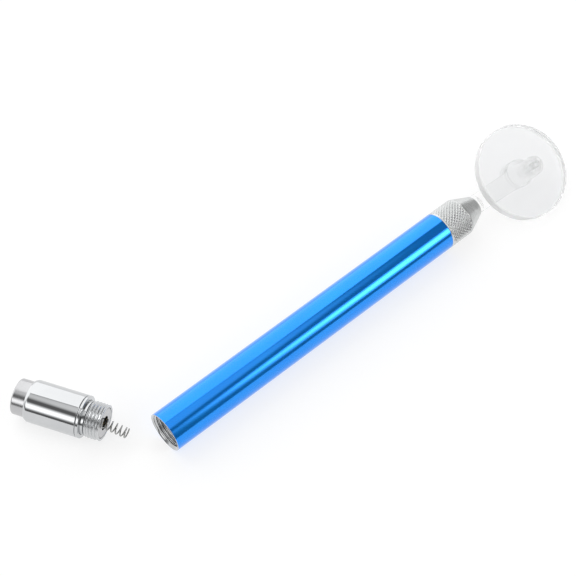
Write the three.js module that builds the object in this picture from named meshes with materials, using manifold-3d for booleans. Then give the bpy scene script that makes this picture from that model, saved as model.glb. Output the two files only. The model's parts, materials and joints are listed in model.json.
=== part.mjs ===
// Lighted inspection mirror: a penlight tube, a screw-on nose with a clear arm
// and a clear round disc, and a push-button tail cap lying beside the open tube.
//
// Millimetres, +Z up.  The tube lies along +X on the floor z = 0, mouth first.
// The origin is at the middle of the whole object's floor area.

import * as THREE from 'three';
import * as BufferGeometryUtils from 'three/addons/utils/BufferGeometryUtils.js';
import Module from 'manifold-3d';

const wasm = await Module();
wasm.setup();

// ---------------------------------------------------------------- driving sizes

const ROUND = 32;                 // sides of a large turned piece
const ROUND_SMALL = 16;           // sides of a small turned piece

const TUBE_R = 6.5;
const TUBE_LENGTH = 112.93;
const BORE_R = 5.4;
const THREAD_PITCH = 1.0;
const THREAD_DEPTH = 0.4;

const CELL_R = 5.25;              // AAA cell
const CELL_LENGTH = 44.5;
const REAR_CELL_X = 11.0;         // closed end of the rear cell
const CELL_GAP = 0.3;

const HOLDER_X = 101.0;           // rear of the LED holder
const SPIGOT_X = 105.9;           // rear of the nose's threaded spigot
const SPIGOT_R = 5.25;
const RING_X = 113.05;            // knurled ring, rear face
const CONE_X = 122.03;            // where the ring ends and the cone begins
const TIP_X = 128.7;              // front of the cone
const TIP_R = 3.63;
const TIP_BORE_R = 3.3;

const ARM_HALF_WIDTH = 3.14;
const ARM_LOW = -1.25;            // the flat bar's faces, from the tube's axis
const BAR_HIGH = 0.6;
const ARM_HIGH = 1.0;             // top of the pad and of the pivot boss
const ARM_ROOT_X = 128.95;
const PAD_R = 4.7;                // round pad under the middle of the disc
const PIVOT_X = 155.4;
const PIVOT_SIDE = -0.88;         // the pivot is a little to one side of the middle
const PIVOT_HOLE_R = 1.2;
const SOCKET_R = 1.15;            // the disc's socket and the washer's hole
const RIVET_R = 1.0;
const RIVET_HEAD_R = 2.2;
const WASHER_R = 2.5;
const ARM_END_R = 3.3;

const DISC_X = 149.07;
const DISC_R = 16.07;
const DISC_LOW = 1.3;
const DISC_HIGH = 4.67;
const DISC_EDGE = 0.15;           // the rim's small chamfer

// The arm and disc are turned about the tube's axis until the disc's rim touches
// the floor that the tube lies on.
const RIM_R = DISC_R - DISC_EDGE;
const HEAD_ROLL = Math.atan2(DISC_LOW, RIM_R)
  + Math.asin(TUBE_R / Math.hypot(DISC_LOW, RIM_R));

const CAP_FACE_X = -11.32;        // centre of the cap's thread-end face
const CAP_FACE_Y = 14.07;
const CAP_HEADING = -60.225;      // degrees, the way the cap's thread end points
const CAP_R = 6.6;
const CAP_THREAD_R = 5.66;
const CAP_THREAD_LENGTH = 6.07;   // neck and thread, back from the end face
const CAP_TAIL = -23.9;           // where the body ends and the button begins
const BUTTON_R = 5.6;
const BUTTON_END = -28.3;

const SPRING_DROOP = 8;           // degrees the contact spring hangs below level
const SPRING_YAW = 3;
const SPRING_REACH = 7.4;         // its free end, past the cap's face

// ------------------------------------------------------------------- materials

function finish(color, roughness, metalness, opacity = 1) {
  return new THREE.MeshStandardMaterial({
    color, roughness, metalness, opacity, transparent: opacity < 1,
  });
}

const blueAnodised = finish(0x1e7be0, 0.25, 0.9);
const chrome = finish(0xd8dadd, 0.08, 1);
const satinSteel = finish(0xb4b6ba, 0.3, 1);
const knurledAlloy = finish(0xc9cac8, 0.3, 1);
const springSteel = finish(0xa8a8a6, 0.25, 1);
const clearPlastic = finish(0xeef1f2, 0.05, 0, 0.3);
const brass = finish(0xc9a558, 0.3, 1);
const blackRubber = finish(0x141414, 0.8, 0);
const whiteNylon = finish(0xe6e4dc, 0.5, 0);
const greenBoard = finish(0x1f6b3c, 0.5, 0);
const blackChip = finish(0x17181a, 0.5, 0);
const ledResin = finish(0xf2f4ea, 0.05, 0, 0.6);
const cellWrap = finish(0x6f777d, 0.4, 0);

// ------------------------------------------------------------------ solid tools

const model = new THREE.Group();

function add(parent, name, geometry, material) {
  const mesh = new THREE.Mesh(geometry, material);
  mesh.name = name;
  parent.add(mesh);
  return mesh;
}

// Turns a list of [x, radius] points about the X axis.  A list that starts and
// ends on the axis is a solid piece, any other is closed into a ring.
function turned(points, sides = ROUND) {
  const outline = points.map(([x, r]) => new THREE.Vector2(r, x));
  const last = outline.length - 1;
  const solid = outline[0].x === 0 && outline[last].x === 0;
  if (!solid) outline.push(outline[0].clone());
  const area = THREE.ShapeUtils.area(outline);
  if (area < 0) outline.reverse();
  const geometry = new THREE.LatheGeometry(outline, sides);
  geometry.rotateZ(-Math.PI / 2);
  return geometry;
}

function rod(x0, x1, r, sides = ROUND) {
  return turned([[x0, 0], [x0, r], [x1, r], [x1, 0]], sides);
}

function ring(x0, x1, inner, outer, sides = ROUND) {
  return turned([[x0, inner], [x0, outer], [x1, outer], [x1, inner]], sides);
}

// Points along a thread's flanks: crests at rCrest, grooves at rRoot
function threadPoints(x0, x1, rCrest, rRoot) {
  const turns = Math.floor(Math.abs(x1 - x0) / THREAD_PITCH);
  const step = Math.sign(x1 - x0) * THREAD_PITCH;
  const points = [];
  for (let i = 0; i < turns; i += 1) {
    const x = x0 + i * step;
    points.push([x, rCrest], [x + 0.5 * step, rRoot]);
  }
  points.push([x0 + turns * step, rCrest]);
  return points;
}

function toSolid(geometry) {
  const bare = geometry.clone();
  bare.deleteAttribute('normal');
  bare.deleteAttribute('uv');
  const merged = BufferGeometryUtils.mergeVertices(bare, 1e-4);
  return new wasm.Manifold(new wasm.Mesh({
    numProp: 3,
    vertProperties: new Float32Array(merged.attributes.position.array),
    triVerts: new Uint32Array(merged.index.array),
  }));
}

function toGeometry(solid) {
  const mesh = solid.getMesh();
  const geometry = new THREE.BufferGeometry();
  const positions = new THREE.BufferAttribute(mesh.vertProperties, 3);
  geometry.setAttribute('position', positions);
  geometry.setIndex(new THREE.BufferAttribute(mesh.triVerts, 1));
  geometry.computeVertexNormals();
  return geometry;
}

function joined(...geometries) {
  return geometries.map(toSolid).reduce((whole, piece) => whole.add(piece));
}

function box(x0, x1, y0, y1, z0, z1) {
  const geometry = new THREE.BoxGeometry(x1 - x0, y1 - y0, z1 - z0);
  geometry.translate((x0 + x1) / 2, (y0 + y1) / 2, (z0 + z1) / 2);
  return geometry;
}

// A round wire wound about the X axis from x0 to x1
class Helix extends THREE.Curve {
  constructor(x0, x1, radius, turns) {
    super();
    Object.assign(this, { x0, x1, radius, turns });
  }

  getPoint(t, target = new THREE.Vector3()) {
    const angle = 2 * Math.PI * this.turns * t;
    return target.set(
      this.x0 + (this.x1 - this.x0) * t,
      this.radius * Math.cos(angle),
      this.radius * Math.sin(angle),
    );
  }
}

function coil(x0, x1, radius, turns, wireR) {
  const section = new THREE.Shape();
  section.absarc(0, 0, wireR, 0, 2 * Math.PI);
  return new THREE.ExtrudeGeometry(section, {
    curveSegments: 3,
    steps: Math.round(turns * 10),
    extrudePath: new Helix(x0, x1, radius, turns),
  });
}

// An upright plate: its outline in the X-Y plane, from z0 to z1
function plate(shape, z0, z1, curveSegments = 12) {
  const geometry = new THREE.ExtrudeGeometry(shape, {
    depth: z1 - z0, bevelEnabled: false, curveSegments,
  });
  geometry.translate(0, 0, z0);
  return geometry;
}

function disk(x, y, r, z0, z1, sides) {
  const geometry = new THREE.CylinderGeometry(r, r, z1 - z0, sides);
  geometry.rotateX(Math.PI / 2);
  geometry.translate(x, y, (z0 + z1) / 2);
  return geometry;
}

// ------------------------------------------------------------------ handle tube

function buildTube(axis) {
  const mouthThread = threadPoints(0.8, 7.8, BORE_R, BORE_R + THREAD_DEPTH);
  const front = TUBE_LENGTH;
  add(axis, 'handle_tube', turned([
    [0.25, TUBE_R],
    [front - 0.25, TUBE_R],
    [front, TUBE_R - 0.25],
    [front, BORE_R + THREAD_DEPTH],
    [SPIGOT_X - 0.3, BORE_R + THREAD_DEPTH],
    [SPIGOT_X - 0.7, BORE_R],
    ...mouthThread.reverse(),
    [0, BORE_R + 0.4],
    [0, TUBE_R - 0.25],
  ]), blueAnodised);
}

// ------------------------------------------------------------------------ cells

// Each cell is a crimped steel can with its positive nub, a printed-film sleeve
// and the flat negative end cap.
function buildCell(axis, name, x) {
  const shoulder = x + CELL_LENGTH - 1.0;
  const canR = CELL_R - 0.2;
  add(axis, `${name}_can`, turned([
    [x + 0.5, 0], [x + 0.5, canR - 0.5], [x + 1.0, canR],
    [shoulder - 0.6, canR], [shoulder, canR - 0.8],
    [shoulder, 1.9], [shoulder + 1.0, 1.7], [shoulder + 1.0, 0],
  ]), satinSteel);
  const sleeve = ring(x + 1.2, shoulder - 0.8, canR + 0.03, CELL_R);
  add(axis, `${name}_sleeve`, sleeve, cellWrap);
  add(axis, `${name}_end_cap`, rod(x, x + 0.4, 3.9, ROUND_SMALL), chrome);
}

// ----------------------------------------------------------------- light engine

function buildLightEngine(axis) {
  add(axis, 'led_holder', turned([
    [HOLDER_X, 4.75], [HOLDER_X, 5.15], [105.2, 5.15], [105.2, 4.2],
    [112.0, 4.2], [112.0, 2.65], [106.1, 2.65], [106.1, 3.1],
    [104.6, 3.1], [104.6, 4.75],
  ]), whiteNylon);
  add(axis, 'led', turned([
    [104.9, 0], [104.9, 2.9], [105.9, 2.9], [105.9, 2.5], [111.0, 2.5],
    [112.25, 2.17], [113.17, 1.25], [113.5, 0],
  ], ROUND_SMALL), ledResin);
  add(axis, 'anode_lead', box(103.5, 104.8, 1.02, 1.52, -0.25, 0.25), springSteel);
  add(axis, 'cathode_lead', box(103.5, 104.8, -1.52, -1.02, -0.25, 0.25), springSteel);
  add(axis, 'circuit_board', rod(102.4, 103.4, 4.6, ROUND_SMALL), greenBoard);
  add(axis, 'resistor', box(103.5, 104.1, -1.0, 1.0, 1.6, 2.8), blackChip);
  add(axis, 'front_contact', turned([
    [100.75, 0], [100.75, 1.5], [101.6, 1.5], [101.6, 2.4], [102.3, 2.4], [102.3, 0],
  ], ROUND_SMALL), brass);
  add(axis, 'ground_washer', ring(105.4, 105.7, 4.35, 5.1), brass);
}

// ------------------------------------------------------------------------- nose

function buildNose(axis) {
  add(axis, 'knurled_ring', turned([
    ...threadPoints(SPIGOT_X, RING_X - 0.1, SPIGOT_R, SPIGOT_R - THREAD_DEPTH),
    [RING_X, SPIGOT_R], [RING_X, 5.9], [RING_X + 0.6, TUBE_R],
    [CONE_X - 0.25, TUBE_R], [CONE_X - 0.1, TUBE_R - 0.15],
    [CONE_X - 0.1, 5.1], [116.4, 5.1], [116.4, 4.5], [SPIGOT_X, 4.5],
  ]), knurledAlloy);
  add(axis, 'nose_cone', turned([
    [116.7, 4.35], [116.7, 5.0], [CONE_X, 5.0], [CONE_X, TUBE_R - 0.05],
    [TIP_X - 0.1, TIP_R], [TIP_X, TIP_R - 0.1], [TIP_X, TIP_BORE_R],
    [125.9, TIP_BORE_R], [125.9, 4.35],
  ]), satinSteel);
}

// ---------------------------------------------------------------- arm and disc

function armBarShape() {
  const quarter = Math.PI / 2;
  const lean = Math.atan2(PIVOT_SIDE, PIVOT_X - ARM_ROOT_X);
  const shape = new THREE.Shape();
  shape.moveTo(ARM_ROOT_X, -ARM_HALF_WIDTH);
  shape.absarc(PIVOT_X, PIVOT_SIDE, ARM_END_R, lean - quarter, lean + quarter, false);
  shape.lineTo(ARM_ROOT_X, ARM_HALF_WIDTH);
  return shape;
}

function pivotDisk(r, low, high, sides) {
  return disk(PIVOT_X, PIVOT_SIDE, r, low, high, sides);
}

function buildArm(head) {
  const guide = turned([
    [114.5, 0], [114.5, 2.8], [122.8, 2.8], [122.8, 4.1], [124.0, 4.1],
    [124.0, 3.1], [ARM_ROOT_X + 0.7, 3.1], [ARM_ROOT_X + 0.7, 0],
  ]);
  const bar = plate(armBarShape(), ARM_LOW, BAR_HIGH);
  const pad = disk(DISC_X, 0, PAD_R, ARM_LOW, ARM_HIGH, ROUND);
  const boss = pivotDisk(ARM_END_R, ARM_LOW, ARM_HIGH, ROUND);
  const hole = pivotDisk(PIVOT_HOLE_R, ARM_LOW - 1, ARM_HIGH + 1, ROUND_SMALL);
  const arm = joined(guide, bar, pad, boss).subtract(toSolid(hole));
  add(head, 'light_arm', toGeometry(arm), clearPlastic);

  const section = new THREE.Vector2();
  const seal = [];
  for (let i = 0; i < 10; i += 1) {
    section.set(0.45, 0).rotateAround(new THREE.Vector2(), (i * 2 * Math.PI) / 10);
    seal.push([125.0 + section.x, 3.65 + section.y]);
  }
  add(head, 'arm_o_ring', turned(seal), blackRubber);

  const slot = box(121, 123.5, 0, 6, -0.9, 0.9);
  const snapRing = toSolid(ring(121.7, 122.5, 3.1, 4.15)).subtract(toSolid(slot));
  add(head, 'arm_snap_ring', toGeometry(snapRing), springSteel);
}

function buildDisc(head) {
  const blank = new THREE.LatheGeometry([
    new THREE.Vector2(0, DISC_LOW),
    new THREE.Vector2(RIM_R, DISC_LOW),
    new THREE.Vector2(DISC_R, DISC_LOW + DISC_EDGE),
    new THREE.Vector2(DISC_R, DISC_HIGH - DISC_EDGE),
    new THREE.Vector2(RIM_R, DISC_HIGH),
    new THREE.Vector2(0, DISC_HIGH),
  ], 64);
  blank.rotateX(Math.PI / 2);
  blank.translate(DISC_X, 0, 0);
  const socket = pivotDisk(SOCKET_R, DISC_LOW - 1, DISC_LOW + 1.9, ROUND_SMALL);
  const disc = toSolid(blank).subtract(toSolid(socket));
  add(head, 'clear_disc', toGeometry(disc), clearPlastic);

  const shank = pivotDisk(RIVET_R, -2.0, DISC_LOW + 1.7, ROUND_SMALL);
  const rivetHead = pivotDisk(RIVET_HEAD_R, -2.6, -1.85, ROUND_SMALL);
  add(head, 'pivot_rivet', toGeometry(joined(shank, rivetHead)), clearPlastic);

  const washer = toSolid(pivotDisk(WASHER_R, -1.7, -1.4, ROUND_SMALL));
  const washerHole = toSolid(pivotDisk(SOCKET_R, -2, -1, ROUND_SMALL));
  const thrustWasher = toGeometry(washer.subtract(washerHole));
  add(head, 'pivot_washer', thrustWasher, clearPlastic);
}

// --------------------------------------------------------------------- tail cap

// Along the cap's own X axis: the thread-end face is at 0, the button at the
// negative end.
function buildCap(cap) {
  const lip = -CAP_THREAD_LENGTH;
  add(cap, 'cap_body', turned([
    [CAP_TAIL, 6.02], [CAP_TAIL, 6.12], [CAP_TAIL + 0.35, 6.4], [CAP_TAIL + 0.9, CAP_R],
    [lip - 1.25, CAP_R], [lip - 1.05, CAP_R - 0.2],
    [lip - 1.05, 5.3], [lip + 0.8, 5.3],
    ...threadPoints(lip + 1.2, 0, CAP_THREAD_R, CAP_THREAD_R - THREAD_DEPTH),
    [-0.3, CAP_THREAD_R], [0, CAP_THREAD_R - 0.2],
    [0, 4.75], [-17.8, 4.75], [-17.8, 6.02],
  ]), chrome);
  add(cap, 'cap_end_plate', ring(-1.2, -0.05, 2.2, 4.6), satinSteel);
  add(cap, 'switch_housing', turned([
    [-17.0, 1.9], [-17.0, 4.6], [-3.4, 4.6], [-3.4, 0],
    [-4.6, 0], [-4.6, 3.0], [-9.5, 3.0], [-9.5, 1.9],
  ]), whiteNylon);
  add(cap, 'button_retainer', ring(CAP_TAIL, CAP_TAIL + 0.8, 5.68, 5.95), springSteel);
  add(cap, 'fixed_contact', rod(-6.3, -4.8, 2.6, ROUND_SMALL), brass);
  add(cap, 'spring_seat', rod(-3.2, -2.5, 4.2, ROUND_SMALL), brass);

  const springAxis = new THREE.Group();
  springAxis.position.set(-2.2, 0, 0);
  springAxis.rotation.set(0, THREE.MathUtils.degToRad(SPRING_DROOP), 0);
  const springTurn = new THREE.Group();
  springTurn.rotation.set(0, 0, THREE.MathUtils.degToRad(-SPRING_YAW));
  springTurn.add(springAxis);
  cap.add(springTurn);
  const contactSpring = coil(0, SPRING_REACH + 2.2, 1.5, 7, 0.22);
  add(springAxis, 'contact_spring', contactSpring, springSteel);
}

function buildTrimRing(cap) {
  const front = -CAP_THREAD_LENGTH;
  add(cap, 'cap_trim_ring', turned([
    [front - 0.95, 5.4], [front - 0.95, CAP_R - 0.15], [front - 0.8, CAP_R],
    [front - 0.15, CAP_R], [front, CAP_R - 0.15], [front, 5.4],
  ]), chrome);
}

function buildButton(cap) {
  add(cap, 'push_button', turned([
    [BUTTON_END, 0], [BUTTON_END, BUTTON_R - 0.3], [BUTTON_END + 0.1, BUTTON_R - 0.1],
    [BUTTON_END + 0.3, BUTTON_R], [-22.8, BUTTON_R], [-22.8, 5.92], [-21.6, 5.92],
    [-21.6, 4.4], [-27.0, 4.4], [-27.0, 0],
  ]), satinSteel);
  add(cap, 'switch_plunger', turned([
    [-26.9, 0], [-26.9, 2.6], [-25.9, 2.6], [-25.9, 1.75], [-8.9, 1.75], [-8.9, 0],
  ], ROUND_SMALL), whiteNylon);
  add(cap, 'moving_contact', rod(-8.8, -8.1, 1.75, ROUND_SMALL), brass);
  const buttonSpring = coil(-26.6, -17.3, 3.4, 6, 0.22);
  add(cap, 'button_spring', buttonSpring, springSteel);
}

// --------------------------------------------------------------------- assembly

const tubeAxis = new THREE.Group();
tubeAxis.position.set(0, 0, TUBE_R);
model.add(tubeAxis);
buildTube(tubeAxis);
buildCell(tubeAxis, 'rear_cell', REAR_CELL_X);
buildCell(tubeAxis, 'front_cell', REAR_CELL_X + CELL_LENGTH + CELL_GAP);
buildLightEngine(tubeAxis);
buildNose(tubeAxis);

const head = new THREE.Group();
head.rotation.set(HEAD_ROLL, 0, 0);
tubeAxis.add(head);
buildArm(head);
buildDisc(head);

const cap = new THREE.Group();
cap.position.set(CAP_FACE_X, CAP_FACE_Y, CAP_R);
cap.rotation.set(0, 0, THREE.MathUtils.degToRad(CAP_HEADING));
model.add(cap);
buildCap(cap);
buildTrimRing(cap);
buildButton(cap);

const wholeBox = new THREE.Box3().setFromObject(model, true);
const middle = wholeBox.getCenter(new THREE.Vector3());
model.position.set(-middle.x, -middle.y, 0);

export default model;
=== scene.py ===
"""Lighted inspection mirror: the fine surfaces, materials, light and camera.

Each piece is built in millimetres in the local frame of its group (tube, head,
cap or spring, each with X along its own axis), then carried into the row frame,
in metres.  The groups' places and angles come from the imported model's nodes and
joints.
"""

import json
import math

import bmesh
import bpy
from mathutils import Matrix, Vector


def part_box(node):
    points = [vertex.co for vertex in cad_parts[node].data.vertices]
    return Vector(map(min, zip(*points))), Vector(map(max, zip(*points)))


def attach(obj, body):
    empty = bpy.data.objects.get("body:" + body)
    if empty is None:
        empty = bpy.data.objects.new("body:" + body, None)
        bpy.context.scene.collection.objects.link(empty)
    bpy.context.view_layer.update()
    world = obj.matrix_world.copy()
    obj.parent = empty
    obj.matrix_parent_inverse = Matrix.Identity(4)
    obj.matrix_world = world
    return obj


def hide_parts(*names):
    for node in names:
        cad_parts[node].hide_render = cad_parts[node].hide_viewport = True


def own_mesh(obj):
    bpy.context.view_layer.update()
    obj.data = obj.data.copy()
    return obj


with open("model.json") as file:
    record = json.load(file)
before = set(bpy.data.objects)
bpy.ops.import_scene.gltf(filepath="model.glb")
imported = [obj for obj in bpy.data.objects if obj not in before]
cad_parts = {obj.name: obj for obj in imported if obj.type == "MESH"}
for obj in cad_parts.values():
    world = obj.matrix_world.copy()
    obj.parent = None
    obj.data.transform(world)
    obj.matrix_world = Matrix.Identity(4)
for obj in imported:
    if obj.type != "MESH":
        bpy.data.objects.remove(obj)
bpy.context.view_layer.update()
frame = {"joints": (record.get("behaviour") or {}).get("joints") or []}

MM = 0.001
TAU = 2 * math.pi

# ------------------------------------------------------------- sizes, in mm

TUBE_R = 6.5
TUBE_LENGTH = 112.93
BORE_R = 5.4
THREAD_PITCH = 1.0
THREAD_DEPTH = 0.4

CELL_R = 5.25
CELL_LENGTH = 44.5
REAR_CELL_X = 11.0
CELL_GAP = 0.3

HOLDER_X = 101.0
SPIGOT_X = 105.9
SPIGOT_R = 5.25
RING_X = 113.05
CONE_X = 122.03
TIP_X = 128.7
TIP_R = 3.63
TIP_BORE_R = 3.3

ARM_HALF_WIDTH = 3.14
ARM_LOW = -1.25
BAR_HIGH = 0.6
ARM_HIGH = 1.0
ARM_ROOT_X = 129.7
GUIDE_END_X = 130.9
ARM_END_R = 3.3
PAD_R = 4.7
PIVOT_X = 155.4
PIVOT_SIDE = -0.88
PIVOT_HOLE_R = 1.2
SOCKET_R = 1.15
RIVET_R = 1.0
RIVET_HEAD_R = 2.2
WASHER_R = 2.5

DISC_X = 149.07
DISC_R = 16.07
DISC_LOW = 1.3
DISC_HIGH = 4.67
SOCKET_DEPTH = 1.9

CAP_R = 6.6
CAP_THREAD_R = 5.66
CAP_THREAD_LENGTH = 6.07
CAP_TAIL = -23.9
BUTTON_R = 5.6
BUTTON_END = -28.3
SPRING_DROOP = math.radians(8)
SPRING_YAW = math.radians(3)
SPRING_BASE = -2.2
SPRING_REACH = 7.4

SPRING_WIRE_R = 0.22
KNURL_TEETH = 30
KNURL_PITCH = 1.25
KNURL_DEPTH = 0.36
KNURL_FADE = 0.3
KNURL_CUTS = ((1, 1.0), (-1, 0.72))      # (hand of the cut, its share of the depth)
TOOTH_FLAT = 0.3                         # how much of a tooth's top is left uncut

# --------------------------------------------------- places, from the frame


def joint(name):
    return next(j for j in frame["joints"] if j["name"] == name)


tube_low, tube_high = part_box("handle_tube")
tube_mouth = Vector((
    tube_low.x,
    (tube_low.y + tube_high.y) / 2,
    (tube_low.z + tube_high.z) / 2,
))
disc_axis = Vector(joint("disc_swing")["axis"])
cap_joint = joint("cap_turn")
cap_heading = math.atan2(cap_joint["axis"][1], cap_joint["axis"][0])

SCALE = Matrix.Scale(MM, 4)
TUBE = Matrix.Translation(tube_mouth) @ SCALE
HEAD = TUBE @ Matrix.Rotation(math.atan2(-disc_axis.y, disc_axis.z), 4, "X")
CAP = (
    Matrix.Translation(Vector(cap_joint["pos_m"]))
    @ Matrix.Rotation(cap_heading, 4, "Z")
    @ SCALE
)
SPRING = (
    CAP
    @ Matrix.Rotation(-SPRING_YAW, 4, "Z")
    @ Matrix.Translation((SPRING_BASE, 0, 0))
    @ Matrix.Rotation(SPRING_DROOP, 4, "Y")
)

# ---------------------------------------------------------- material tools

# How a noise is stretched along each axis of a piece.
ALONG = (0.05, 6.0, 6.0)          # grain drawn out along the piece's axis
AROUND = (9.0, 0.15, 0.15)        # turning marks around the axis
EVEN = (3.0, 3.0, 3.0)
BROAD = (0.12, 0.12, 0.12)        # slow changes over a whole piece
MIDDLE = (0.3, 0.7)               # where most of a noise's values lie


class NodeTools:
    """Small helpers to wire one material's nodes."""

    def __init__(self, tree):
        self.tree = tree

    def node(self, kind, **settings):
        made = self.tree.nodes.new(kind)
        for key, value in settings.items():
            setattr(made, key, value)
        return made

    def link(self, source, target):
        self.tree.links.new(source, target)

    def math(self, operation, *values):
        """One maths node; each value is a socket or a number."""
        made = self.node("ShaderNodeMath", operation=operation)
        for socket, value in zip(made.inputs, values):
            if isinstance(value, (int, float)):
                socket.default_value = value
            else:
                self.link(value, socket)
        return made.outputs[0]

    def window(self, angle, edges):
        """1 between the two middle edges, in degrees, fading to 0 at the outer."""
        steps = []
        for start, end in (edges[:2], edges[2:]):
            step = self.node("ShaderNodeMapRange", interpolation_type="SMOOTHSTEP")
            step.inputs["From Min"].default_value = math.radians(start)
            step.inputs["From Max"].default_value = math.radians(end)
            self.link(angle, step.inputs["Value"])
            steps.append(step.outputs["Result"])
        return self.math("SUBTRACT", *steps)

    def local(self, scale):
        """The piece's own millimetre coordinates, stretched by scale."""
        place = self.node("ShaderNodeAttribute", attribute_name="local_mm")
        stretch = self.node("ShaderNodeVectorMath", operation="MULTIPLY")
        stretch.inputs[1].default_value = scale
        self.link(place.outputs["Vector"], stretch.inputs[0])
        return stretch.outputs[0]

    def noise(self, scale, detail, size=1.0):
        """Noise in the piece's own frame: scale stretches each axis."""
        noise = self.node("ShaderNodeTexNoise")
        noise.inputs["Scale"].default_value = size
        noise.inputs["Detail"].default_value = detail
        noise.inputs["Roughness"].default_value = 0.55
        self.link(self.local(scale), noise.inputs["Vector"])
        return noise.outputs["Fac"]

    def ramp(self, source, low, high, start=0.0, end=1.0):
        """source mapped so that start gives low and end gives high."""
        ranged = self.node("ShaderNodeMapRange")
        ranged.inputs["From Min"].default_value = start
        ranged.inputs["From Max"].default_value = end
        ranged.inputs["To Min"].default_value = low
        ranged.inputs["To Max"].default_value = high
        self.link(source, ranged.inputs["Value"])
        return ranged.outputs["Result"]

    def colours(self, source, low, high, span=MIDDLE):
        """Colour low where source is at span's start, high at its end."""
        ramp = self.node("ShaderNodeValToRGB")
        for element, place, colour in zip(ramp.color_ramp.elements, span, (low, high)):
            element.position = place
            element.color = (*colour, 1)
        self.link(source, ramp.inputs[0])
        return ramp.outputs["Color"]

    def bump(self, shader, height, strength, distance):
        """Raises the surface by height, up to distance in mm."""
        bump = self.node("ShaderNodeBump")
        bump.inputs["Strength"].default_value = strength
        bump.inputs["Distance"].default_value = distance * MM
        self.link(height, bump.inputs["Height"])
        self.link(bump.outputs["Normal"], shader.inputs["Normal"])


def new_material(name):
    material = bpy.data.materials.new(name)
    material.use_nodes = True
    shader = material.node_tree.nodes["Principled BSDF"]
    return material, shader, NodeTools(material.node_tree)


def metal(name, dark, light, roughness, grain, grain_size, grain_bump):
    """A metal: its colour changes slowly, its polish and its fine bumps by grain."""
    material, shader, tools = new_material(name)
    cloud = tools.noise(BROAD, detail=4.0)
    lines = tools.noise(grain, detail=4.0, size=grain_size)
    shade = tools.colours(cloud, dark, light)
    tools.link(shade, shader.inputs["Base Color"])
    tools.link(tools.ramp(lines, *roughness, *MIDDLE), shader.inputs["Roughness"])
    shader.inputs["Metallic"].default_value = 1.0
    tools.bump(shader, lines, grain_bump, 0.01)
    return material


def blue_anodised():
    material, shader, tools = new_material("blue_anodised")
    cloud = tools.noise((0.05, 0.25, 0.25), detail=3.0)
    lines = tools.noise(ALONG, detail=4.0, size=2.0)
    deep, clear = (0.0, 0.275, 0.98), (0.0, 0.305, 1.0)
    shade = tools.colours(cloud, deep, clear, (0.35, 0.65))
    tools.link(shade, shader.inputs["Base Color"])
    tools.link(tools.ramp(lines, 0.09, 0.15, *MIDDLE), shader.inputs["Roughness"])
    shader.inputs["Metallic"].default_value = 0.7
    shader.inputs["Coat Weight"].default_value = 0.45
    shader.inputs["Coat Roughness"].default_value = 0.06
    shader.inputs["Coat IOR"].default_value = 1.5
    tools.bump(shader, lines, 0.05, 0.01)
    return material


def clear_plastic(name, thin, thick, roughness, opacity):
    """Acrylic: a faint haze varies its polish, and its tint from thin to thick."""
    material, shader, tools = new_material(name)
    haze = tools.noise((0.4, 0.4, 0.4), detail=5.0)
    tools.link(tools.colours(haze, thick, thin), shader.inputs["Base Color"])
    tools.link(tools.ramp(haze, *roughness, 0.35, 0.8), shader.inputs["Roughness"])
    shader.inputs["Transmission Weight"].default_value = 1.0
    shader.inputs["IOR"].default_value = 1.49
    shader.inputs["Alpha"].default_value = opacity
    return material


def plastic(name, dark, light, roughness, bump=0.1):
    material, shader, tools = new_material(name)
    cloud = tools.noise(EVEN, detail=4.0, size=0.6)
    grain = tools.noise(EVEN, detail=3.0, size=5.0)
    shade = tools.colours(cloud, dark, light)
    tools.link(shade, shader.inputs["Base Color"])
    tools.link(tools.ramp(grain, *roughness, *MIDDLE), shader.inputs["Roughness"])
    tools.bump(shader, grain, bump, 0.02)
    return material


def led_resin():
    material, shader, tools = new_material("led_resin")
    haze = tools.noise(EVEN, detail=3.0, size=0.5)
    yellow, pale = (0.93, 0.95, 0.88), (0.97, 0.98, 0.95)
    tools.link(tools.colours(haze, yellow, pale), shader.inputs["Base Color"])
    tools.link(tools.ramp(haze, 0.02, 0.08), shader.inputs["Roughness"])
    shader.inputs["Transmission Weight"].default_value = 0.85
    shader.inputs["IOR"].default_value = 1.53
    return material


BLUE = blue_anodised()
BARE = metal("bare_aluminium", (0.52, 0.53, 0.54), (0.66, 0.67, 0.68), (0.08, 0.16),
             AROUND, 3.0, 0.05)
KNURLED = metal("knurled_alloy", (0.62, 0.63, 0.63), (0.72, 0.73, 0.73), (0.2, 0.32),
                EVEN, 4.0, 0.05)
SATIN = metal("satin_metal", (0.47, 0.47, 0.48), (0.54, 0.54, 0.55), (0.14, 0.22),
              AROUND, 3.0, 0.05)
CUT = metal("cut_thread", (0.56, 0.57, 0.58), (0.62, 0.63, 0.64), (0.2, 0.28),
            AROUND, 2.0, 0.03)
CHROME = metal("polished_metal", (0.56, 0.57, 0.58), (0.60, 0.61, 0.62), (0.03, 0.07),
               AROUND, 1.5, 0.03)
CONE = metal("fine_satin", (0.58, 0.59, 0.59), (0.66, 0.67, 0.67), (0.24, 0.34),
             AROUND, 3.0, 0.05)
STEEL = metal("spring_steel", (0.28, 0.28, 0.27), (0.38, 0.38, 0.37), (0.12, 0.28),
              EVEN, 3.0, 0.1)
BRASS = metal("brass", (0.66, 0.46, 0.18), (0.78, 0.58, 0.26), (0.15, 0.32),
              AROUND, 2.0, 0.1)
CLEAR = clear_plastic("clear_plastic", (0.985, 0.99, 0.985), (0.965, 0.975, 0.97),
                      (0.0, 0.04), 0.22)
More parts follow.
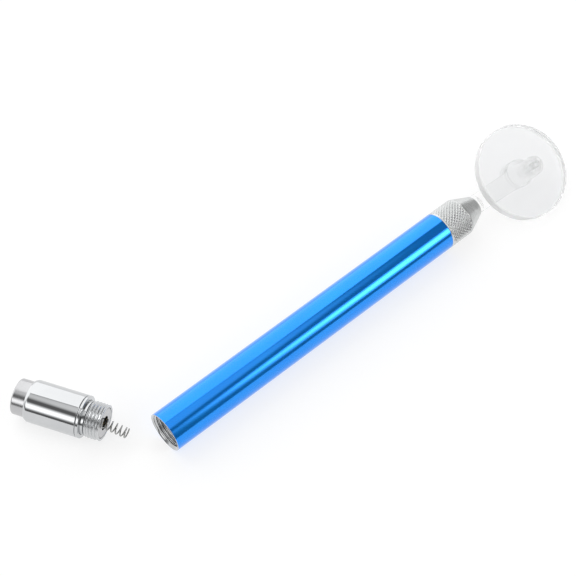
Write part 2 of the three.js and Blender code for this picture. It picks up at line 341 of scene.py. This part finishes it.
# painted shade: the side walls of the clear arm, rivet and washer get this darker grey,
# more opaque copy of the clear plastic, standing in for the dark outlines that refraction
# draws along clear edges
WALL_PAINTED_SHADE = clear_plastic("clear_plastic_wall_painted_shade", (0.68, 0.69, 0.68), (0.60, 0.61, 0.60),
                     (0.1, 0.2), 0.9)
FACE = clear_plastic("clear_disc_face", (0.88, 0.89, 0.90), (0.85, 0.86, 0.875),
                     (0.0, 0.04), 0.6)
RIM = clear_plastic("clear_disc_rim", (0.92, 0.93, 0.93), (0.88, 0.89, 0.89),
                    (0.45, 0.6), 0.65)
RUBBER = plastic("black_rubber", (0.012, 0.012, 0.012), (0.03, 0.03, 0.03), (0.55, 0.8))
NYLON = plastic("white_nylon", (0.72, 0.71, 0.66), (0.82, 0.81, 0.77), (0.35, 0.55))
BOARD = plastic("green_board", (0.01, 0.13, 0.05), (0.02, 0.2, 0.08), (0.25, 0.45))
CHIP = plastic("black_chip", (0.01, 0.01, 0.01), (0.03, 0.03, 0.035), (0.3, 0.5))
SLEEVE = plastic("cell_sleeve", (0.10, 0.12, 0.14), (0.16, 0.18, 0.20), (0.2, 0.35),
                 0.03)
RESIN = led_resin()

# ------------------------------------------------------------ camera, stage

CAMERA_AIM = tube_mouth + Vector((64.44, 18.69, -TUBE_R)) * MM
CAMERA_HEADING = math.radians(41.016)      # from +Y towards +X
CAMERA_ELEVATION = math.radians(55.312)
CAMERA_DISTANCE = 0.46993
CAMERA_LENS = 91.706


def build_camera():
    data = bpy.data.cameras.new("camera")
    data.lens = CAMERA_LENS
    data.sensor_width = 36.0
    data.clip_start = 0.01
    data.clip_end = 20.0
    camera = bpy.data.objects.new("camera", data)
    level = math.cos(CAMERA_ELEVATION)
    sight = Vector((
        math.sin(CAMERA_HEADING) * level,
        math.cos(CAMERA_HEADING) * level,
        -math.sin(CAMERA_ELEVATION),
    ))
    camera.location = CAMERA_AIM - sight * CAMERA_DISTANCE
    camera.rotation_euler = sight.to_track_quat("-Z", "Y").to_euler()
    bpy.context.scene.collection.objects.link(camera)
    bpy.context.scene.camera = camera


ROOM_LEVEL = 0.18
FLOOR_GLOW = 0.72
FLOOR_ALBEDO = 0.33
FLOOR_HALF = 3.0                  # half the floor's side, in metres
CEILING_HEADING = 200
CEILING_TILT = 7
PANELS = (
    # the white sweep behind the object, up to the ceiling's edge
    dict(level=1.72, heading=20, across=(-90, -55, 43, 50), dome=(26.5, 28.5, 110, 120)),
    # the ceiling
    dict(level=0.95, dome=(-2, -1, 22, 31)),
    # the key light, front right
    dict(level=7.50, heading=150, across=(-26, -10, -3, 14), height=(10, 29, 31, 49)),
    # its spill, at the right
    dict(level=0.12, heading=100, across=(-30, -22, 22, 40), height=(8, 16, 54, 62)),
    # the fill light, front left
    dict(level=2.20, heading=-98, across=(-45, -20, 20, 45), height=(8, 25, 32, 50)),
    # a low reflector at the right
    dict(level=0.40, heading=90, across=(-22, -16, 16, 30), height=(-5, 0, 16, 30)),
)


def build_world():
    """A pale studio: soft panels of light, placed by direction."""
    world = bpy.data.worlds.new("studio")
    bpy.context.scene.world = world
    world.use_nodes = True
    tools = NodeTools(world.node_tree)
    world.node_tree.nodes.clear()
    spot = tools.node("ShaderNodeTexCoord")
    total = None
    for panel in PANELS:
        lit = panel_light(tools, spot.outputs["Generated"], **panel)
        total = lit if total is None else tools.math("ADD", total, lit)
    total = tools.math("ADD", total, ROOM_LEVEL)
    background = tools.node("ShaderNodeBackground")
    output = tools.node("ShaderNodeOutputWorld")
    tools.link(total, background.inputs["Strength"])
    tools.link(background.outputs[0], output.inputs["Surface"])


def rotated(tools, direction, axis, degrees):
    turn = tools.node("ShaderNodeVectorRotate", rotation_type=f"{axis}_AXIS")
    tools.link(direction, turn.inputs["Vector"])
    turn.inputs["Angle"].default_value = math.radians(degrees)
    return turn.outputs[0]


def parts_of(tools, direction):
    split = tools.node("ShaderNodeSeparateXYZ")
    tools.link(direction, split.inputs[0])
    return split.outputs


def panel_light(tools, direction, level, heading=0, across=None, height=None, dome=None):
    """The light of one panel, seen in a direction.

    heading is the way to the panel's middle, from +Y towards +X.  The others are
    (dark, lit, lit, dark) angles: across either side of the heading, height up
    from the horizon, and dome away from the ceiling's middle.
    """
    light = level
    if across:
        turned_x, turned_y, _ = parts_of(tools, rotated(tools, direction, "Z", heading))
        side = tools.math("ARCTAN2", turned_x, turned_y)
        light = tools.math("MULTIPLY", tools.window(side, across), light)
    if height:
        up = tools.math("ARCSINE", parts_of(tools, direction)[2])
        light = tools.math("MULTIPLY", tools.window(up, height), light)
    if dome:
        aimed = rotated(tools, direction, "Z", CEILING_HEADING)
        aimed = rotated(tools, aimed, "X", CEILING_TILT)
        away = tools.math("ARCCOSINE", parts_of(tools, aimed)[2])
        light = tools.math("MULTIPLY", tools.window(away, dome), light)
    return light


def build_floor():
    mesh = bpy.data.meshes.new("floor")
    half = FLOOR_HALF
    corners = [(-half, -half, 0), (half, -half, 0), (half, half, 0), (-half, half, 0)]
    mesh.from_pydata(corners, [], [(0, 1, 2, 3)])
    floor = bpy.data.objects.new("floor", mesh)
    bpy.context.scene.collection.objects.link(floor)
    material, shader, tools = new_material("floor_white")
    shader.inputs["Base Color"].default_value = (FLOOR_ALBEDO,) * 3 + (1,)
    shader.inputs["Roughness"].default_value = 0.7
    shader.inputs["Specular IOR Level"].default_value = 0.0
    shader.inputs["Emission Color"].default_value = (1, 1, 1, 1)
    shader.inputs["Emission Strength"].default_value = FLOOR_GLOW
    mesh.materials.append(material)


# -------------------------------------------------------------- mesh tools

SIDES = 96
FINE_SIDES = 128                  # of the large pieces seen from close by
SMALL_SIDES = 48
THREAD_STEP = 0.055
CORNER_STEPS = 3
CORNER_SHARE = 0.45               # the most of a stretch that one corner may take
GUARD = 0.06                      # a loop this far past a rounding keeps the rest flat
GUARD_SHARE = 0.04                # the most of a stretch between the two
SHARP = math.radians(40)
WELD = 1e-4                       # points closer than this are one
WIRE_SIDES = 10
WIRE_STEPS = 28                   # of each turn of a coil


def rounded(points, radius):
    """A closed outline of (x, r) points with its corners rounded.

    A point may carry its own corner radius as a third number.
    """
    result = []
    for i, point in enumerate(points):
        x, r = point[:2]
        size = point[2] if len(point) > 2 else radius
        on_axis = r == 0
        if on_axis or size == 0:
            result.append((x, r))
            continue
        here = Vector((x, r))
        before = Vector(points[i - 1][:2]) - here
        after = Vector(points[(i + 1) % len(points)][:2]) - here
        shorter = min(before.length, after.length)
        size = min(size, CORNER_SHARE * shorter)
        start = here + before.normalized() * size
        end = here + after.normalized() * size
        guard = min(GUARD, GUARD_SHARE * shorter)
        result.append(tuple(start + before.normalized() * guard))
        for step in range(CORNER_STEPS + 1):
            t = step / CORNER_STEPS
            bend = start * (1 - t) ** 2 + here * 2 * t * (1 - t) + end * t * t
            result.append((bend.x, bend.y))
        result.append(tuple(end + after.normalized() * guard))
    return result


def filled(points, fine, coarse, is_fine):
    """Adds points along each stretch: every fine mm where is_fine, else coarse."""
    result = []
    for i, here in enumerate(points):
        there = points[(i + 1) % len(points)]
        step = fine if is_fine(here) and is_fine(there) else coarse
        parts = max(1, math.ceil(math.dist(here, there) / step))
        for k in range(parts):
            t = k / parts
            result.append(tuple(a + (b - a) * t for a, b in zip(here, there)))
    return result


def mesh_from(verts, faces):
    """One closed mesh, in local mm, its faces pointing out."""
    mesh = bpy.data.meshes.new("solid")
    mesh.from_pydata(verts, [], faces)
    mesh.validate()
    body = bmesh.new()
    body.from_mesh(mesh)
    bmesh.ops.remove_doubles(body, verts=body.verts, dist=WELD)
    bmesh.ops.recalc_face_normals(body, faces=body.faces)
    body.to_mesh(mesh)
    body.free()
    return mesh


def finish_object(name, mesh, place, materials, pick=None):
    """Makes the object, in the row frame, with its local_mm attribute.

    pick(face), with the face in local mm, gives the index of its material.
    """
    mesh.name = name
    local = mesh.attributes.new("local_mm", "FLOAT_VECTOR", "POINT")
    for i, vertex in enumerate(mesh.vertices):
        local.data[i].vector = vertex.co
    for material in materials:
        mesh.materials.append(material)
    for face in mesh.polygons:
        face.use_smooth = True
        if pick:
            face.material_index = pick(face)
    mesh.set_sharp_from_angle(angle=SHARP)
    mesh.transform(place)
    piece = bpy.data.objects.new(name, mesh)
    bpy.context.scene.collection.objects.link(piece)
    return piece


def revolve(points, sides=SIDES, offset=None):
    """Vertices and faces of points turned about X.

    offset(x, r, angle) gives the radius to add at each place.
    """
    verts, faces, rows = [], [], []
    for x, r in points:
        if r == 0:
            rows.append([len(verts)] * sides)
            verts.append((x, 0.0, 0.0))
            continue
        row = []
        for k in range(sides):
            angle = TAU * k / sides
            radius = r + (offset(x, r, angle) if offset else 0)
            row.append(len(verts))
            verts.append((x, radius * math.cos(angle), radius * math.sin(angle)))
        rows.append(row)
    solid = points[0][1] == 0 and points[-1][1] == 0
    pairs = list(zip(rows, rows[1:]))
    if not solid:
        pairs.append((rows[-1], rows[0]))
    for a, b in pairs:
        for k in range(sides):
            n = (k + 1) % sides
            corners = [a[k], a[n], b[n], b[k]]
            unique = list(dict.fromkeys(corners))
            if len(unique) > 2:
                faces.append(unique)
    return verts, faces


def turned(name, points, place, material, radius=0.08, sides=SIDES):
    """A turned piece: an outline with rounded corners, revolved about X."""
    mesh = mesh_from(*revolve(rounded(points, radius), sides))
    return finish_object(name, mesh, place, [material])


def rod(name, x0, x1, r, place, material, sides=SIDES):
    points = [(x0, 0), (x0, r), (x1, r), (x1, 0)]
    return turned(name, points, place, material, 0.06, sides)


def ring(name, x0, x1, inner, outer, place, material, radius=0.05):
    points = [(x0, inner), (x0, outer), (x1, outer), (x1, inner)]
    return turned(name, points, place, material, radius)


def smooth_step(t):
    t = min(1.0, max(0.0, t))
    return t * t * (3 - 2 * t)


def helix_rise(x, angle, x0, x1):
    """0 on a right-hand thread's root to 1 on its crest, faded at both ends."""
    turn = (x - x0) / THREAD_PITCH - angle / TAU
    ridge = 0.5 + 0.5 * math.cos(TAU * turn)
    fade = smooth_step((x - x0) / THREAD_PITCH) * smooth_step((x1 - x) / THREAD_PITCH)
    return ridge * fade


def coil_advance(turns_from_end):
    """How fast a coil's wire moves along its axis: its end turns lie close."""
    slowest = 0.28
    return slowest + (1 - slowest) * smooth_step(turns_from_end / 0.75 - 0.3)


def coil_line(x0, x1, turns, radius):
    """A coil's centre line: (point, the way outwards there) at each step."""
    steps = turns * WIRE_STEPS
    advances = [coil_advance(min(i, steps - 1 - i) / WIRE_STEPS) for i in range(steps)]
    total = sum(advances)
    line, x = [], x0
    for i in range(steps + 1):
        angle = TAU * turns * i / steps
        outward = Vector((0, math.cos(angle), math.sin(angle)))
        line.append((Vector((x, 0, 0)) + radius * outward, outward))
        if i < steps:
            x += (x1 - x0) * advances[i] / total
    return line


def coil(name, x0, x1, turns, radius, place):
    """A round steel wire wound about X."""
    verts, faces = [], []
    line = coil_line(x0, x1, turns, radius)
    last = len(line) - 1
    for i, (centre, outward) in enumerate(line):
        ahead = line[min(i + 1, last)][0] - line[max(i - 1, 0)][0]
        side = outward.cross(ahead.normalized())
        for k in range(WIRE_SIDES):
            angle = TAU * k / WIRE_SIDES
            around = math.cos(angle) * outward + math.sin(angle) * side
            verts.append(centre + SPRING_WIRE_R * around)
    for i in range(last):
        for k in range(WIRE_SIDES):
            n = (k + 1) % WIRE_SIDES
            a, b = i * WIRE_SIDES, (i + 1) * WIRE_SIDES
            faces.append((a + k, a + n, b + n, b + k))
    faces.append(tuple(range(WIRE_SIDES)))
    faces.append(tuple(last * WIRE_SIDES + k for k in range(WIRE_SIDES)))
    return finish_object(name, mesh_from(verts, faces), place, [STEEL])


def plate(outline, z0, z1, bevel, segments=3):
    """A flat piece from a closed X-Y outline, its edges rounded."""
    body = bmesh.new()
    face = body.faces.new([body.verts.new((x, y, z0)) for x, y in outline])
    made = bmesh.ops.extrude_face_region(body, geom=[face])
    raised = [g for g in made["geom"] if isinstance(g, bmesh.types.BMVert)]
    bmesh.ops.translate(body, verts=raised, vec=(0, 0, z1 - z0))
    bmesh.ops.recalc_face_normals(body, faces=body.faces)
    if bevel:
        rim = [e for e in body.edges if abs(e.verts[0].co.z - e.verts[1].co.z) < WELD]
        bmesh.ops.bevel(body, geom=rim, offset=bevel, segments=segments,
                        profile=0.5, affect="EDGES")
        for z in (z0 + bevel + GUARD, z1 - bevel - GUARD):
            everything = [*body.verts, *body.edges, *body.faces]
            bmesh.ops.bisect_plane(body, geom=everything, plane_co=(0, 0, z),
                                   plane_no=(0, 0, 1))
        body.normal_update()
        flats = [f for f in body.faces if abs(f.normal.z) > 0.999]
        bmesh.ops.inset_individual(body, faces=flats, thickness=GUARD,
                                   use_even_offset=True)
    mesh = bpy.data.meshes.new("plate")
    body.to_mesh(mesh)
    body.free()
    return mesh


def circle(x, y, r, sides=72):
    return [(x + r * math.cos(TAU * k / sides), y + r * math.sin(TAU * k / sides))
            for k in range(sides)]


def arc(x, y, r, start, end, steps):
    return [(x + r * math.cos(start + (end - start) * k / steps),
             y + r * math.sin(start + (end - start) * k / steps))
            for k in range(steps + 1)]


def combined(first, *steps):
    """A mesh joined with or cut by others: steps are (operation, mesh)."""
    base = bpy.data.objects.new("base", first)
    bpy.context.scene.collection.objects.link(base)
    others = []
    for operation, mesh in steps:
        other = bpy.data.objects.new("other", mesh)
        bpy.context.scene.collection.objects.link(other)
        others.append(other)
        modifier = base.modifiers.new("combine", "BOOLEAN")
        modifier.operation = operation
        modifier.solver = "EXACT"
        modifier.object = other
    bpy.context.view_layer.update()
    graph = bpy.context.evaluated_depsgraph_get()
    result = bpy.data.meshes.new_from_object(base.evaluated_get(graph))
    for item in (base, *others):
        bpy.data.objects.remove(item)
    return result


def stand_for(piece, node, body):
    """piece is shown for one CAD node, and moves with its body."""
    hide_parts(node)
    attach(piece, body)


# -------------------------------------------------------------- the handle


def build_tube():
    mouth_thread = (-0.4, 8.0)
    front_bore_r = BORE_R + THREAD_DEPTH
    bare_ends = (0.05, TUBE_LENGTH - 0.08)

    def groove(x, r, angle):
        if r > front_bore_r + 0.1 or x >= mouth_thread[1]:
            return 0
        return THREAD_DEPTH * helix_rise(x, angle, *mouth_thread)

    def is_bare(face):
        centre = face.center
        at_end = not bare_ends[0] <= centre.x <= bare_ends[1]
        inside = math.hypot(centre.y, centre.z) < TUBE_R - 0.2
        return int(at_end or inside)

    outline = rounded([
        (0.0, TUBE_R - 0.3, 0.05), (0.0, TUBE_R, 0.12),
        (TUBE_LENGTH, TUBE_R, 0.12), (TUBE_LENGTH, front_bore_r, 0.1),
        (SPIGOT_X - 0.3, front_bore_r), (SPIGOT_X - 0.7, BORE_R),
        (8.4, BORE_R, 0.05), (0.45, BORE_R, 0.1),
    ], 0.05)

    def in_thread(point):
        return point[0] < mouth_thread[1] + 0.5 and point[1] < BORE_R + 0.05

    fine = filled(outline, THREAD_STEP, 12, in_thread)
    mesh = mesh_from(*revolve(fine, FINE_SIDES, groove))
    tube = finish_object("tube_shell", mesh, TUBE, [BLUE, BARE], is_bare)
    stand_for(tube, "handle_tube", "handle")


def build_cell(name, x):
    shoulder = x + CELL_LENGTH - 1.0
    can_r = CELL_R - 0.2
    can = turned(f"{name}_steel", [
        (x + 0.5, 0), (x + 0.5, can_r - 0.5), (x + 1.0, can_r),
        (shoulder - 0.6, can_r), (shoulder, can_r - 0.8),
        (shoulder, 1.9), (shoulder + 1.0, 1.7), (shoulder + 1.0, 0),
    ], TUBE, SATIN, 0.25)
    stand_for(can, f"{name}_can", "cells")
    film = ring(f"{name}_film", x + 1.2, shoulder - 0.8, can_r + 0.03, CELL_R,
                TUBE, SLEEVE)
    stand_for(film, f"{name}_sleeve", "cells")
    base = rod(f"{name}_base", x, x + 0.4, 3.9, TUBE, CHROME)
    stand_for(base, f"{name}_end_cap", "cells")


# -------------------------------------------------------- the light engine


def block(name, low, high, material):
    outline = [(low[0], low[1]), (high[0], low[1]), (high[0], high[1]), (low[0], high[1])]
    mesh = plate(outline, low[2], high[2], 0.06, 2)
    return finish_object(name, mesh, TUBE, [material])


def build_light_engine():
    body = "light_engine"
    holder = turned("led_bush", [
        (HOLDER_X, 4.75), (HOLDER_X, 5.15), (105.2, 5.15), (105.2, 4.2),
        (112.0, 4.2), (112.0, 2.65), (106.1, 2.65), (106.1, 3.1),
        (104.6, 3.1), (104.6, 4.75),
    ], TUBE, NYLON)
    stand_for(holder, "led_holder", body)
    lamp_r, dome_x = 2.5, 111.0
    dome = [(x, r, 0) for x, r in arc(dome_x, 0, lamp_r, math.pi / 2, 0, 10)[1:-1]]
    lamp = turned("led_lamp", [
        (104.9, 0), (104.9, 2.9), (105.9, 2.9), (105.9, lamp_r), (dome_x, lamp_r, 0),
        *dome, (dome_x + lamp_r, 0),
    ], TUBE, RESIN, sides=SMALL_SIDES)
    stand_for(lamp, "led", body)
    for node, side in (("anode_lead", 1), ("cathode_lead", -1)):
        low, high = sorted((side * 1.02, side * 1.52))
        lead = block(f"{node}_wire", (103.5, low, -0.25), (104.8, high, 0.25), STEEL)
        stand_for(lead, node, body)
    board = rod("lamp_board", 102.4, 103.4, 4.6, TUBE, BOARD)
    stand_for(board, "circuit_board", body)
    chip = block("chip_resistor", (103.5, -1.0, 1.6), (104.1, 1.0, 2.8), CHIP)
    stand_for(chip, "resistor", body)
    button = turned("contact_button", [
        (100.75, 0), (100.75, 1.5), (101.6, 1.5), (101.6, 2.4), (102.3, 2.4), (102.3, 0),
    ], TUBE, BRASS, 0.12)
    stand_for(button, "front_contact", body)
    washer = ring("return_washer", 105.4, 105.7, 4.35, 5.1, TUBE, BRASS)
    stand_for(washer, "ground_washer", body)


# ---------------------------------------------------------------- the nose


def knurl_cut(x, angle, start, end):
    """How deep the knurl is cut, from 0 on its teeth, faded at both ends."""
    along = (x - start) / KNURL_PITCH
    around = KNURL_TEETH * angle / TAU
    deepest = max(share * (1 - abs(2 * ((around + hand * along) % 1) - 1))
                  for hand, share in KNURL_CUTS)
    fade = smooth_step((x - start) / KNURL_FADE) * smooth_step((end - x) / KNURL_FADE)
    return KNURL_DEPTH * max(0, (1 + TOOTH_FLAT) * deepest - TOOTH_FLAT) * fade


def build_nose():
    band = (RING_X + 0.4, CONE_X - 0.25)

    def cut(x, r, angle):
        if x < RING_X - 0.1 and r > 4.7:
            rise = helix_rise(x, angle, SPIGOT_X - 0.2, RING_X - 0.3)
            return THREAD_DEPTH * (rise - 1)
        if band[0] < x < band[1] and r > TUBE_R - 0.05:
            return -knurl_cut(x, angle, *band)
        return 0

    outline = rounded([
        (SPIGOT_X, 4.5, 0.05), (SPIGOT_X, SPIGOT_R, 0.05),
        (RING_X, SPIGOT_R, 0.02), (RING_X, TUBE_R - 0.3, 0.05),
        (RING_X + 0.3, TUBE_R, 0.08),
        (CONE_X - 0.1, TUBE_R, 0.1), (CONE_X - 0.1, 5.1, 0.05),
        (116.4, 5.1, 0.05), (116.4, 4.5, 0.05),
    ], 0.05)

    def outside(point):
        return point[1] > SPIGOT_R - 0.1

    fine = filled(outline, THREAD_STEP, 4, outside)
    mesh = mesh_from(*revolve(fine, KNURL_TEETH * 12, cut))
    knurl = finish_object("knurled_collar", mesh, TUBE, [KNURLED])
    stand_for(knurl, "knurled_ring", "nose")

    cone = turned("nose_taper", [
        (116.7, 4.35), (116.7, 5.0), (CONE_X, 5.0), (CONE_X, TUBE_R - 0.05, 0.12),
        (TIP_X, TIP_R - 0.02, 0.12), (TIP_X, TIP_BORE_R), (125.9, TIP_BORE_R),
        (125.9, 4.35),
    ], TUBE, CONE, 0.05, FINE_SIDES)
    stand_for(cone, "nose_cone", "nose")

    closed = mesh_from(*revolve(rounded([
        (121.7, 3.1), (121.7, 4.15), (122.5, 4.15), (122.5, 3.1),
    ], 0.08)))
    gap = plate([(121, 0), (123.5, 0), (123.5, 6), (121, 6)], -0.9, 0.9, 0)
    split = combined(closed, ("DIFFERENCE", gap))
    snap = finish_object("snap_ring", split, HEAD, [STEEL])
    stand_for(snap, "arm_snap_ring", "nose")


# --------------------------------------------------------- the arm and disc


def arm_outline():
    corner = 0.9
    back = ARM_ROOT_X + corner
    side = ARM_HALF_WIDTH - corner
    quarter = math.pi / 2
    lean = math.atan2(PIVOT_SIDE, PIVOT_X - ARM_ROOT_X)
    return [
        *arc(back, -side, corner, 2 * quarter, 3 * quarter, 8),
        *arc(PIVOT_X, PIVOT_SIDE, ARM_END_R, lean - quarter, lean + quarter, 40),
        *arc(back, side, corner, quarter, 2 * quarter, 8),
    ]


def pivot_plate(r, low, high, bevel):
    """A round plate about the disc's pivot."""
    return plate(circle(PIVOT_X, PIVOT_SIDE, r, SMALL_SIDES), low, high, bevel)


def on_painted_shade_wall(face):
    """1 on the side walls and roundings past the round guide, which get the darker copy
    of the clear plastic as painted edge shade.
    """
    past_guide = face.center.x > GUIDE_END_X + 0.1
    return int(past_guide and abs(face.normal.z) < 0.9)


def build_arm():
    guide = mesh_from(*revolve(rounded([
        (114.5, 0), (114.5, 2.8), (122.8, 2.8), (122.8, 4.1), (124.0, 4.1),
        (124.0, 3.1), (128.9, 3.1), (128.9, 2.5, 0), (GUIDE_END_X, 2.5, 0),
        (GUIDE_END_X, 0),
    ], 0.1)))
    bar = plate(arm_outline(), ARM_LOW, BAR_HIGH, 0.15)
    pad = plate(circle(DISC_X, 0, PAD_R), ARM_LOW + 0.02, ARM_HIGH, 0.1)
    boss = pivot_plate(ARM_END_R - 0.05, ARM_LOW + 0.05, ARM_HIGH, 0.1)
    hole = pivot_plate(PIVOT_HOLE_R, ARM_LOW - 1, ARM_HIGH + 1, 0)
    mesh = combined(guide, ("UNION", bar), ("UNION", pad), ("UNION", boss),
                    ("DIFFERENCE", hole))
    # the arm's side walls get the painted edge shade
    arm = finish_object("clear_arm", mesh, HEAD, [CLEAR, WALL_PAINTED_SHADE], on_painted_shade_wall)
    stand_for(arm, "light_arm", "arm")

    section = [(x, r, 0) for x, r in circle(125.0, 3.65, 0.45, 16)]
    seal = turned("arm_seal", section, HEAD, RUBBER, 0)
    stand_for(seal, "arm_o_ring", "arm")


def at_rim(face):
    """1 on the disc's side wall and its roundings."""
    from_middle = math.hypot(face.center.x - DISC_X, face.center.y)
    return int(from_middle > DISC_R - 0.3)


def build_disc():
    blank = plate(circle(DISC_X, 0, DISC_R, 192), DISC_LOW, DISC_HIGH, 0.25)
    socket = pivot_plate(SOCKET_R, DISC_LOW - 1, DISC_LOW + SOCKET_DEPTH, 0)
    mesh = combined(blank, ("DIFFERENCE", socket))
    disc = finish_object("disc_lens", mesh, HEAD, [FACE, RIM], at_rim)
    stand_for(disc, "clear_disc", "disc")

    shank = pivot_plate(RIVET_R, -2.0, DISC_LOW + SOCKET_DEPTH - 0.2, 0.05)
    head = pivot_plate(RIVET_HEAD_R, -2.6, -1.85, 0.15)
    mesh = combined(shank, ("UNION", head))
    # the rivet's side walls get the painted edge shade
    rivet = finish_object("clear_rivet", mesh, HEAD, [CLEAR, WALL_PAINTED_SHADE], on_painted_shade_wall)
    stand_for(rivet, "pivot_rivet", "disc")

    blank = pivot_plate(WASHER_R, -1.7, -1.4, 0.05)
    hole = pivot_plate(SOCKET_R, -2, -1, 0)
    mesh = combined(blank, ("DIFFERENCE", hole))
    # the washer's side walls get the painted edge shade
    washer = finish_object("clear_washer", mesh, HEAD, [CLEAR, WALL_PAINTED_SHADE], on_painted_shade_wall)
    stand_for(washer, "pivot_washer", "disc")


# ------------------------------------------------------------- the tail cap


def build_cap():
    lip = -CAP_THREAD_LENGTH
    thread = (lip + 1.0, -0.2)

    def ridge(x, r, angle):
        if r < CAP_THREAD_R - 0.3 or x < thread[0] or x > thread[1]:
            return 0
        return THREAD_DEPTH * (helix_rise(x, angle, *thread) - 1)

    def is_thread(face):
        return int(face.center.x > thread[0])

    outline = rounded([
        (CAP_TAIL, 6.02, 0.05), (CAP_TAIL, 6.2, 0.1), (CAP_TAIL + 0.8, CAP_R, 0.3),
        (lip - 1.05, CAP_R, 0.2), (lip - 1.05, 5.3, 0.05), (lip + 0.8, 5.3, 0.05),
        (thread[0], 5.3, 0.05), (thread[0] + 0.35, CAP_THREAD_R, 0.05),
        (0, CAP_THREAD_R - 0.05, 0.25),
        (0, 4.75, 0.08), (-17.8, 4.75, 0.05), (-17.8, 6.02, 0.05),
    ], 0.05)

    def in_thread(point):
        return point[0] > thread[0] and point[1] > 5.2

    fine = filled(outline, THREAD_STEP, 3, in_thread)
    mesh = mesh_from(*revolve(fine, FINE_SIDES, ridge))
    shell = finish_object("cap_shell", mesh, CAP, [CHROME, CUT], is_thread)
    stand_for(shell, "cap_body", "tail_cap")

    face = ring("end_plate", -1.2, -0.05, 2.2, 4.6, CAP, SATIN, 0.08)
    stand_for(face, "cap_end_plate", "tail_cap")
    housing = turned("switch_barrel", [
        (-17.0, 1.9), (-17.0, 4.6), (-3.4, 4.6), (-3.4, 0), (-4.6, 0),
        (-4.6, 3.0), (-9.5, 3.0), (-9.5, 1.9),
    ], CAP, NYLON)
    stand_for(housing, "switch_housing", "tail_cap")
    retainer = ring("tail_ring", CAP_TAIL, CAP_TAIL + 0.8, 5.68, 5.95, CAP, STEEL, 0.06)
    stand_for(retainer, "button_retainer", "tail_cap")
    fixed = rod("fixed_pad", -6.3, -4.8, 2.6, CAP, BRASS)
    stand_for(fixed, "fixed_contact", "tail_cap")
    seat = rod("spring_plate", -3.2, -2.5, 4.2, CAP, BRASS)
    stand_for(seat, "spring_seat", "tail_cap")
    reach = SPRING_REACH - SPRING_BASE
    spring = coil("contact_coil", 0.25, reach - 0.25, 7, 1.5, SPRING)
    stand_for(spring, "contact_spring", "tail_cap")


def build_trim_ring():
    front = -CAP_THREAD_LENGTH
    trim = turned("trim_band", [
        (front - 0.95, 5.4), (front - 0.95, CAP_R, 0.22), (front, CAP_R, 0.22),
        (front, 5.4),
    ], CAP, CHROME, 0.05, FINE_SIDES)
    stand_for(trim, "cap_trim_ring", "cap_ring")


def build_button():
    button = turned("tail_button", [
        (BUTTON_END, 0), (BUTTON_END, BUTTON_R, 0.45), (-22.8, BUTTON_R),
        (-22.8, 5.92), (-21.6, 5.92), (-21.6, 4.4), (-27.0, 4.4), (-27.0, 0),
    ], CAP, SATIN, 0.08, FINE_SIDES)
    stand_for(button, "push_button", "button")
    plunger = turned("plunger_stem", [
        (-26.9, 0), (-26.9, 2.6), (-25.9, 2.6), (-25.9, 1.75), (-8.9, 1.75), (-8.9, 0),
    ], CAP, NYLON, 0.1, SMALL_SIDES)
    stand_for(plunger, "switch_plunger", "button")
    moving = rod("moving_pad", -8.8, -8.1, 1.75, CAP, BRASS, SMALL_SIDES)
    stand_for(moving, "moving_contact", "button")
    free_end, fixed_end = -26.6, -17.3
    spring = coil("button_coil", free_end, fixed_end, 6, 3.4, CAP)
    stand_for(spring, "button_spring", "tail_cap")
    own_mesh(spring)


# ------------------------------------------------------------------ build all

bpy.context.scene.view_settings.view_transform = "Standard"
build_camera()
build_world()
build_floor()
build_tube()
build_cell("rear_cell", REAR_CELL_X)
build_cell("front_cell", REAR_CELL_X + CELL_LENGTH + CELL_GAP)
build_light_engine()
build_nose()
build_arm()
build_disc()
build_cap()
build_trim_ring()
build_button()
